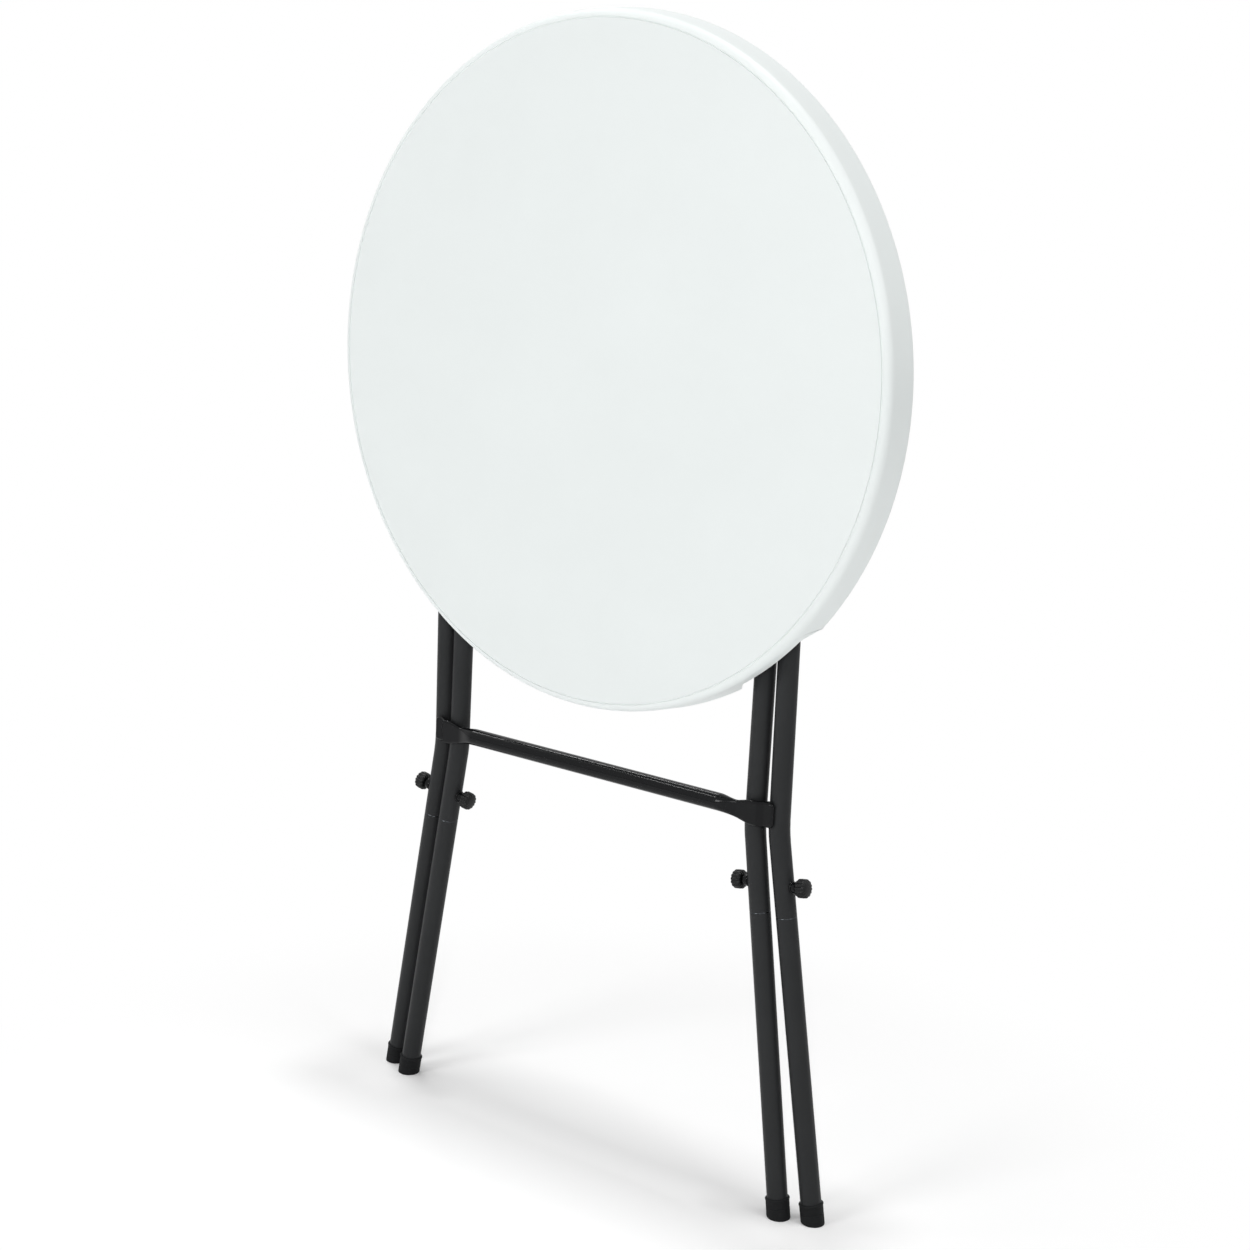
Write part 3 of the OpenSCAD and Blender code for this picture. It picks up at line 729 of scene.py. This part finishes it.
class TABLE_OT_feet(PieceOperator, bpy.types.Operator):
    """Models the rubber foot caps with a rolled lip and a flat sole"""

    bl_idname = "table.feet"
    bl_label = "Foot caps"

    lip = 1.6 * MM
    # How far the cup stands inside the lip's radius
    waist = 0.6 * MM
    # A fine groove around the cup: depths and heights of its points
    groove = ((0, 12 * MM), (0.5 * MM, 12.6 * MM), (0.5 * MM, 13.6 * MM), (0, 14.2 * MM))
    # Rounding of the sole's edge
    sole_round = 1 * MM

    def execute(self, context):
        s = context.scene.table_legs
        rubber = foot_rubber(context.scene)
        radius, tube, lip = s.cap / 2, s.tube / 2, self.lip
        # Below the floor, where each cap is cut off level
        sole = -radius
        body = radius - self.waist
        mouth = tube + 0.05 * MM
        outline = (
            [(tube * 0.4, sole), (body - lip, sole), (body, sole + lip)]
            + [(body - depth, height) for depth, height in self.groove]
            + [(body, s.cap_height - 2.4 * lip)]
            + arc(radius - lip, s.cap_height - lip, lip, -50, 90, 6)
            + [(mouth, s.cap_height), (mouth, s.cap_height - lip),
               (tube * 0.4, s.cap_height - lip)]
        )
        model = turned("foot_cap", outline, 72)
        for leg in LEGS:
            cap = copy_piece(model, "foot_cap_moulded_" + leg)
            place(cap, *leg_line(leg))
            edit(cap)
            bpy.ops.mesh.select_all(action="SELECT")
            bpy.ops.mesh.bisect(
                plane_co=(0, 0, 0), plane_no=(0, 0, 1), use_fill=True, clear_inner=True
            )
            pick("EDGE", lambda e: all(abs(v.co.z) < MM / 100 for v in e.verts))
            bpy.ops.mesh.bevel(offset=self.sole_round, segments=3)
            outward()
            close()
            smooth(cap)
            finish(cap, "leg_" + leg, rubber, "black_rubber", "foot_cap_" + leg)
        discard(model)
        return {"FINISHED"}


class TABLE_OT_crossbar(PieceOperator, bpy.types.Operator):
    """Models the front crossbar with pressed ends and its weld beads"""

    bl_idname = "table.crossbar"
    bl_label = "Front crossbar"

    # Facets around the bar
    around = 48
    # A weld bead's length and radius, how far past the step it lies, and how
    # deep it sits in the edge of the flattened end
    bead_run, bead_radius = 9 * MM, 1.5 * MM
    bead_past, bead_sunk = 5 * MM, 0.4 * MM

    def pressed_end(self, s, side):
        """The pressed flat end of the tube, stepped back to the outer leg."""
        edge_steps = self.around // 4 - 1
        near, far = side * (s.flat_from + s.flat_run), side * s.end
        level = s.height - s.flat_drop
        bpy.ops.object.select_all(action="DESELECT")
        bpy.ops.mesh.primitive_cube_add(size=1)
        end = bpy.context.active_object
        end.name = "pressed_end"
        end.scale = (abs(side * s.flat_full - near), s.flat_thick, s.flat_height)
        end.location = ((near + side * s.flat_full) / 2, -s.forward, level)
        bpy.ops.object.transform_apply(location=True, rotation=False, scale=True)
        edit(end)
        pick("FACE", lambda f: f.normal.x * side > 0.9)
        stations = (s.flat_full, s.crank_from, s.crank_to, s.end)
        for run in (b - a for a, b in zip(stations, stations[1:])):
            bpy.ops.mesh.extrude_region_move(
                TRANSFORM_OT_translate={"value": (side * run, 0, 0), "orient_type": "GLOBAL"}
            )
        pick("VERT", lambda v: abs(v.co.x - near) < MM / 10)
        bpy.ops.transform.resize(
            value=(1, 1, s.flat_neck / s.flat_height), center_override=(near, -s.forward, level)
        )
        pick("EDGE", lambda e: all(abs(v.co.x - far) < MM / 10 for v in e.verts)
             and abs(e.verts[0].co.y - e.verts[1].co.y) > MM)
        bpy.ops.mesh.bevel(offset=s.corner, segments=5, clamp_overlap=False)
        pick("EDGE", lambda e: e.calc_face_angle(0) > 1
             and abs(e.verts[0].co.y - e.verts[1].co.y) < MM / 10
             and not all(abs(v.co.x - near) < MM / 10 for v in e.verts))
        # Just under half the thickness, so that the two roundings don't meet
        bpy.ops.mesh.bevel(
            offset=s.flat_thick / 2 * 0.999, segments=edge_steps, clamp_overlap=False
        )
        pick("FACE", lambda f: f.normal.x * side < -0.9
             and abs(f.calc_center_median().x - near) < MM / 10)
        bpy.ops.mesh.delete(type="FACE")
        pick("VERT", lambda v: v.co.x * side > s.crank_to - MM / 10)
        bpy.ops.transform.translate(value=(0, s.forward - s.pad, 0))
        close()
        return end

    def execute(self, context):
        s = context.scene.table_crossbar
        bpy.ops.object.select_all(action="DESELECT")
        bpy.ops.mesh.primitive_cylinder_add(
            vertices=self.around,
            radius=s.diameter / 2,
            depth=2 * s.flat_from,
            end_fill_type="NOTHING",
            location=(0, -s.forward, s.height),
            rotation=(0, math.pi / 2, 0),
        )
        middle = bpy.context.active_object
        bpy.ops.object.transform_apply(location=True, rotation=True, scale=True)
        ends = [self.pressed_end(s, side) for side in SIDES.values()]
        bar = join([middle] + ends, "front_crossbar_pressed")
        for side in SIDES.values():
            edit(bar)
            pick("EDGE", lambda e: e.is_boundary and e.verts[0].co.x * side > 0)
            bpy.ops.mesh.bridge_edge_loops(
                number_cuts=10, interpolation="SURFACE", smoothness=0.7
            )
            close()
        edit(bar)
        outward()
        close()
        smooth(bar, 30)
        tilt_to_frame(bar, FOLD_ANGLE)
        coat = black_coat(context.scene)
        finish(bar, "outer_frame", coat, "black_powder_coat", "front_crossbar")
        for name, side in SIDES.items():
            for up in (-1, 1):
                bead = weld_bead(
                    f"crossbar_weld_{name}_{'top' if up > 0 else 'bottom'}",
                    self.bead_run, self.bead_radius,
                )
                bead.location = (
                    side * (s.crank_to + self.bead_past),
                    -s.pad + s.flat_thick * 0.2,
                    s.height - s.flat_drop + up * (s.flat_height / 2 - self.bead_sunk),
                )
                take(bead)
                bpy.ops.object.transform_apply(location=True, rotation=True, scale=True)
                tilt_to_frame(bead, FOLD_ANGLE)
                finish(bead, "outer_frame", coat, "black_powder_coat")
        return {"FINISHED"}


def tilt_to_frame(piece, angle):
    """Leans a piece made upright with its leg frame's folded angle."""
    piece.matrix_world = (
        Matrix.Translation(PIVOT) @ Matrix.Rotation(angle, 4, "X")
        @ Matrix.Translation((0, 0, -PIVOT.z))
    )
    take(piece)
    bpy.ops.object.transform_apply(location=True, rotation=True, scale=True)


def weld_bead(name, run, radius):
    """A short straight bead along X, drawn as overlapping puddles."""
    puddles = 6
    outline = []
    for i in range(puddles * 4 + 1):
        along = i / (puddles * 4)
        swell = 0.8 + 0.2 * abs(math.sin(along * math.pi * puddles))
        taper = math.sqrt(max(math.sin(along * math.pi), 0.02))
        outline.append((radius * swell * taper, (along - 0.5) * run))
    bead = turned(name, outline, 16)
    place(bead, (0, 0, 0), (1, 0, 0))
    smooth(bead, 80)
    return bead


def ring_bead(name, ring, radius):
    """A weld bead around a round part, its puddles swelling in turn."""
    bpy.ops.object.select_all(action="DESELECT")
    bpy.ops.mesh.primitive_torus_add(
        major_radius=ring, minor_radius=radius, major_segments=60, minor_segments=12
    )
    bead = bpy.context.active_object
    bead.name = name
    edit(bead)
    puddles = 20
    for k in range(puddles):
        turn = k * math.tau / puddles
        middle = Vector((ring * math.cos(turn), ring * math.sin(turn), 0))
        pick("VERT", lambda v: (Vector((v.co.x, v.co.y, 0)).normalized() * ring
                                - middle).length < ring * 0.04)
        bpy.ops.transform.resize(value=(1.02, 1.02, 1.35), center_override=(0, 0, 0))
    close()
    smooth(bead, 80)
    return bead


class TABLE_OT_knobs(PieceOperator, bpy.types.Operator):
    """Models the thumb screws: fluted knobs, studs, weld nuts and beads"""

    bl_idname = "table.knobs"
    bl_label = "Thumb screws"

    # Radius of the hole that the stud comes out of
    bore = 3.3 * MM
    # Columns of vertices for each groove; the ones drawn in, and by how much
    columns = 8
    flutes = ((0, 0.89), (1, 0.915), (-1, 0.915), (2, 0.965), (-2, 0.965))
    # Radius of the bead around a weld nut, and how far it sinks into the tube
    bead_radius, bead_sunk = 1.1 * MM, 0.3 * MM

    def knob(self, s):
        """One fluted knob about Z with its middle at the origin."""
        radius, half = s.diameter / 2, s.thick / 2
        soft = half * 0.5
        outline = (
            [(self.bore, -half), (radius * 0.6, -half)]
            + arc(radius - soft, soft - half * 0.97, soft, -80, 0, 5)
            + arc(radius - soft, half * 0.9 - soft, soft, 0, 72, 6)
            + [(radius * 0.55, half * 0.97), (radius * 0.3, half), (radius * 0.08, half)]
        )
        knob = turned("thumb_knob", outline, s.grips * self.columns)
        edit(knob)
        step = math.tau / (s.grips * self.columns)
        rim = radius * 0.6
        for offset, depth in self.flutes:
            pick("VERT", lambda v: math.hypot(v.co.x, v.co.y) > rim
                 and round(math.atan2(v.co.y, v.co.x) / step - offset) % self.columns == 0)
            bpy.ops.transform.resize(value=(depth, depth, 1), center_override=(0, 0, 0))
        close()
        smooth(knob, 50)
        return knob

    def execute(self, context):
        s = context.scene.table_knobs
        tube = context.scene.table_legs.tube / 2
        plastic = knob_plastic(context.scene)
        zinc = zinc_plate(context.scene)
        coat = black_coat(context.scene)
        model = self.knob(s)
        bead = ring_bead("nut_weld", s.nut / 2, self.bead_radius)
        for leg, body in LEGS.items():
            centre = Vector(JOINTS["turn_" + leg]["pos_m"])
            axis = Vector(JOINTS["turn_" + leg]["axis"])
            foot, up = leg_line(leg)
            out = (centre - foot - up * (centre - foot).dot(up)).length
            piece = copy_piece(model, "thumb_knob_" + leg)
            place(piece, centre, axis)
            finish(piece, "grip_" + leg, plastic, "black_nylon", "knob_" + leg)
            stud = dressed_copy("stud_" + leg, "stud_plated_" + leg)
            finish(stud, "screw_" + leg, zinc, "zinc_plated_steel", "stud_" + leg)
            weld = copy_piece(bead, "nut_weld_" + leg)
            place(weld, centre - axis * (out - tube - self.bead_sunk), axis)
            finish(weld, body, coat, "black_powder_coat")
        for kind in KINDS:
            node = kind + "_weld_nuts"
            nuts = dressed_copy(node, node + "_painted", 0.8 * MM)
            finish(nuts, kind + "_frame", coat, "black_powder_coat", node)
        discard(model, bead)
        return {"FINISHED"}


class TABLE_OT_fittings(PieceOperator, bpy.types.Operator):
    """Models the saddles, straps, screws, rivets, spacers and plugs"""

    bl_idname = "table.fittings"
    bl_label = "Fittings"

    def pan_head(self, s):
        """A pan-head screw with a cross recess, head up Z from the strap."""
        head, high = s.head / 2, s.head_height
        screw = turned(
            "strap_screw",
            [(head * 0.45, -high), (head * 0.45, 0), (head * 0.93, 0), (head, high * 0.12)]
            + arc(head - high * 0.6, high * 0.4, high * 0.6, 10, 90, 6)
            + [(head * 0.2, high)],
            40,
        )
        blades = []
        for turn in (0, math.pi / 2):
            bpy.ops.object.select_all(action="DESELECT")
            bpy.ops.mesh.primitive_cube_add(size=1, rotation=(0, 0, turn))
            blade = bpy.context.active_object
            blade.scale = (head * 1.1, head * 0.24, high)
            blade.location = (0, 0, high)
            bpy.ops.object.transform_apply(location=True, rotation=True, scale=True)
            edit(blade)
            pick("VERT", lambda v: v.co.z < high)
            bpy.ops.transform.resize(value=(0.5, 0.5, 1), center_override=(0, 0, high))
            close()
            blades.append(blade)
        for blade in blades:
            cut(screw, blade)
        smooth(screw)
        return screw

    def rivet_pair(self, s, name, middle, body, node, headed_outboard):
        """A left and a right rivet, each with a head at its inboard end."""
        reach = [abs(v.co.x) for v in frame["nodes"][node].data.vertices]
        tall, head, shank = s.rivet_height, s.rivet_head / 2, s.rivet / 2
        low, high = min(reach) + tall, max(reach)
        if headed_outboard:
            high -= tall
        dome = arc(0, 0, 1, 0, 80, 7)
        outline = [(head * r, low - tall * z) for r, z in reversed(dome)]
        outline += [(shank, low), (shank, high)]
        if headed_outboard:
            outline += [(head * r, high + tall * z) for r, z in dome]
        pair = []
        for word, side in SIDES.items():
            rivet = turned(f"{name}_rivet_{word}", outline, 40)
            smooth(rivet, 40)
            place(rivet, (0, middle.y, middle.z), (side, 0, 0))
            pair.append(rivet)
        both = join(pair, name + "_rivets_plated")
        finish(both, body, zinc_plate(bpy.context.scene), "zinc_plated_steel", node)

    def execute(self, context):
        s = context.scene.table_fittings
        nylon = saddle_plastic(context.scene)
        black = black_coat(context.scene)
        zinc = zinc_plate(context.scene)
        screw = self.pan_head(s)
        screws = []
        for bar, word in ((HINGE, "hinge"), (BRACE, "brace")):
            for name, side in SIDES.items():
                block = dressed_copy(
                    f"{word}_block_{name}", f"{word}_saddle_{name}", 1.2 * MM, steps=3
                )
                finish(block, "top", nylon, "black_nylon", f"{word}_block_{name}")
                strap = dressed_copy(f"{word}_strap_{name}", f"{word}_clip_{name}", 0.6 * MM)
                finish(strap, "top", black, "black_powder_coat", f"{word}_strap_{name}")
                for up in (-1, 1):
                    copy = copy_piece(screw, "strap_screw")
                    spot = bar + Vector((side * s.saddle, s.strap, up * s.screw_up))
                    place(copy, spot, (0, 1, 0))
                    screws.append(copy)
        discard(screw)
        screws = join(screws, "strap_screws_plated")
        finish(screws, "top", zinc, "zinc_plated_steel", "strap_screws")
        low, high = (Vector(corner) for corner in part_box("brace_rivets"))
        self.rivet_pair(s, "pivot", PIVOT, "outer_frame", "pivot_rivets", True)
        self.rivet_pair(s, "knee", (low + high) / 2, "brace", "brace_rivets", False)
        spacers = dressed_copy("pivot_spacers", "pivot_spacers_moulded", 0.4 * MM)
        finish(spacers, "outer_frame", nylon, "black_nylon", "pivot_spacers")
        plugs = dressed_copy("inner_end_plugs", "inner_end_plugs_moulded")
        finish(plugs, "inner_frame", nylon, "black_nylon", "inner_end_plugs")
        return {"FINISHED"}


class TABLE_OT_stage(PieceOperator, bpy.types.Operator):
    """Sets up the floor, the lamps, the even sky and the camera"""

    bl_idname = "table.stage"
    bl_label = "Studio"

    # Width of the floor; from fade_start to fade_stop it turns plain white
    floor_size, fade_start, fade_stop = 30, 0.42, 0.85
    # Points that the lamps aim at
    middle, rim = (0, 0, 0.7), (0.4, 0, 1)
    # Each lamp's place, aim, width and height, and power; the strips draw the
    # thin lines on the crossbar and the small lamp the glints at the splices
    lamps = {
        "key_softbox": ((-0.9, -3.5, 1.9), middle, (1.3, 1.3), 48),
        "glint_lamp": ((1.75, -2.35, 1.75), middle, (0.15, 0.15), 16),
        "side_softbox": ((2.0, -0.2, 2.1), rim, (0.8, 0.8), 10),
        "top_softbox": ((0, 0, 20), middle, (1.5, 4.0), 1950),
        "strip_near": ((-7.5, -1.72, 10.31), middle, (6.4, 0.24), 140),
        "strip_over": ((-7.5, 3.1, 9.91), middle, (6.4, 0.24), 140),
    }

    def floor(self, s):
        """A wide pale floor that fades to plain white for the camera."""
        bpy.ops.object.select_all(action="DESELECT")
        bpy.ops.mesh.primitive_plane_add(size=self.floor_size)
        floor = bpy.context.active_object
        floor.name = "studio_floor"
        material = bpy.data.materials.new("painted_studio_floor")
        material.use_nodes = True
        tree = material.node_tree
        shader = tree.nodes["Principled BSDF"]
        shader.inputs["Base Color"].default_value = s.floor
        shader.inputs["Roughness"].default_value = 0.9
        shader.inputs["Specular IOR Level"].default_value = 0.0
        place_on = add_node(tree, "ShaderNodeTexCoord").outputs["Object"]
        reach = add_node(
            tree, "ShaderNodeVectorMath", {"operation": "LENGTH"}, links={0: place_on}
        )
        fade = add_node(
            tree, "ShaderNodeMapRange", {"interpolation_type": "SMOOTHSTEP"},
            {"From Min": self.fade_start, "From Max": self.fade_stop, "To Min": s.floor_lift},
            {"Value": reach.outputs["Value"]},
        )
        path = add_node(tree, "ShaderNodeLightPath")
        seen = add_node(
            tree, "ShaderNodeMath", {"operation": "MULTIPLY"},
            links={0: fade.outputs["Result"], 1: path.outputs["Is Camera Ray"]},
        )
        white = add_node(tree, "ShaderNodeEmission", inputs={"Color": (1, 1, 1, 1)})
        mix = add_node(
            tree, "ShaderNodeMixShader",
            links={0: seen.outputs[0], 1: shader.outputs[0], 2: white.outputs[0]},
        )
        tree.links.new(mix.outputs[0], tree.nodes["Material Output"].inputs["Surface"])
        floor.data.materials.append(material)

    def sky(self, s):
        """Even light for the object; plain white where it is looked at."""
        world = bpy.data.worlds.new("studio_sky")
        bpy.context.scene.world = world
        world.use_nodes = True
        tree = world.node_tree
        even = tree.nodes["Background"]
        even.inputs["Color"].default_value = (1, 1, 1, 1)
        even.inputs["Strength"].default_value = s.sky
        seen = add_node(tree, "ShaderNodeBackground", inputs={"Color": (1, 1, 1, 1)})
        path = add_node(tree, "ShaderNodeLightPath")
        either = add_node(
            tree, "ShaderNodeMath", {"operation": "MAXIMUM"},
            links={0: path.outputs["Is Camera Ray"], 1: path.outputs["Is Glossy Ray"]},
        )
        any_ray = add_node(
            tree, "ShaderNodeMath", {"operation": "MAXIMUM"},
            links={0: either.outputs[0], 1: path.outputs["Is Transmission Ray"]},
        )
        mix = add_node(
            tree, "ShaderNodeMixShader",
            links={0: any_ray.outputs[0], 1: even.outputs[0], 2: seen.outputs[0]},
        )
        tree.links.new(mix.outputs[0], tree.nodes["World Output"].inputs["Surface"])

    def lamp(self, name, spot, target, size, power):
        """A soft lamp that points at the target; size is its width and height."""
        light = bpy.data.lights.new(name, "AREA")
        light.shape = "RECTANGLE"
        light.size, light.size_y = size
        light.energy = power
        lamp = bpy.data.objects.new(name, light)
        bpy.context.scene.collection.objects.link(lamp)
        turn = (Vector(spot) - Vector(target)).to_track_quat("Z", "Y").to_matrix().to_4x4()
        lamp.matrix_world = Matrix.Translation(spot) @ turn

    def camera(self, s):
        """The photograph's camera."""
        data = bpy.data.cameras.new("photo_camera")
        data.lens = s.lens
        data.sensor_width = 36
        camera = bpy.data.objects.new("photo_camera", data)
        bpy.context.scene.collection.objects.link(camera)
        a, e, roll = s.azimuth, s.elevation, s.roll
        back = Vector((math.sin(a) * math.cos(e), -math.cos(a) * math.cos(e), math.sin(e)))
        right = Vector((math.cos(a), math.sin(a), 0))
        up = back.cross(right)
        across = right * math.cos(roll) + up * math.sin(roll)
        upward = up * math.cos(roll) - right * math.sin(roll)
        turn = Matrix((across, upward, back)).transposed().to_4x4()
        camera.matrix_world = Matrix.Translation(Vector(s.aim) + back * s.distance) @ turn
        bpy.context.scene.camera = camera

    def execute(self, context):
        s = context.scene.table_stage
        self.floor(s)
        self.sky(s)
        for name, values in self.lamps.items():
            self.lamp(name, *values)
        self.camera(s)
        context.scene.view_settings.view_transform = "Standard"
        return {"FINISHED"}


OPERATORS = (
    TABLE_OT_top,
    TABLE_OT_legs,
    TABLE_OT_extensions,
    TABLE_OT_feet,
    TABLE_OT_crossbar,
    TABLE_OT_knobs,
    TABLE_OT_fittings,
    TABLE_OT_stage,
)


class TABLE_PT_sidebar(bpy.types.Panel):
    """Lists the table's sizes, colours and operators"""

    bl_label = "Folding table"
    bl_idname = "TABLE_PT_sidebar"
    bl_space_type = "VIEW_3D"
    bl_region_type = "UI"
    bl_category = "Table"

    def draw(self, context):
        layout = self.layout
        for name, settings in SETTINGS.items():
            box = layout.box()
            for key in settings.__annotations__:
                box.prop(getattr(context.scene, name), key)
        for operator in OPERATORS:
            layout.operator(operator.bl_idname)


SETTINGS = {
    "table_top": TopSettings,
    "table_legs": LegSettings,
    "table_crossbar": CrossbarSettings,
    "table_knobs": KnobSettings,
    "table_fittings": FittingSettings,
    "table_stage": StageSettings,
}


def register():
    for settings in SETTINGS.values():
        bpy.utils.register_class(settings)
    for operator in OPERATORS:
        bpy.utils.register_class(operator)
    bpy.utils.register_class(TABLE_PT_sidebar)
    for name, settings in SETTINGS.items():
        setattr(bpy.types.Scene, name, PointerProperty(type=settings))


def unregister():
    for name in SETTINGS:
        delattr(bpy.types.Scene, name)
    bpy.utils.unregister_class(TABLE_PT_sidebar)
    for operator in reversed(OPERATORS):
        bpy.utils.unregister_class(operator)
    for settings in reversed(list(SETTINGS.values())):
        bpy.utils.unregister_class(settings)


def main():
    register()
    bpy.ops.table.top()
    bpy.ops.table.legs()
    bpy.ops.table.extensions()
    bpy.ops.table.feet()
    bpy.ops.table.crossbar()
    bpy.ops.table.knobs()
    bpy.ops.table.fittings()
    bpy.ops.table.stage()


if __name__ == "__main__":
    main()
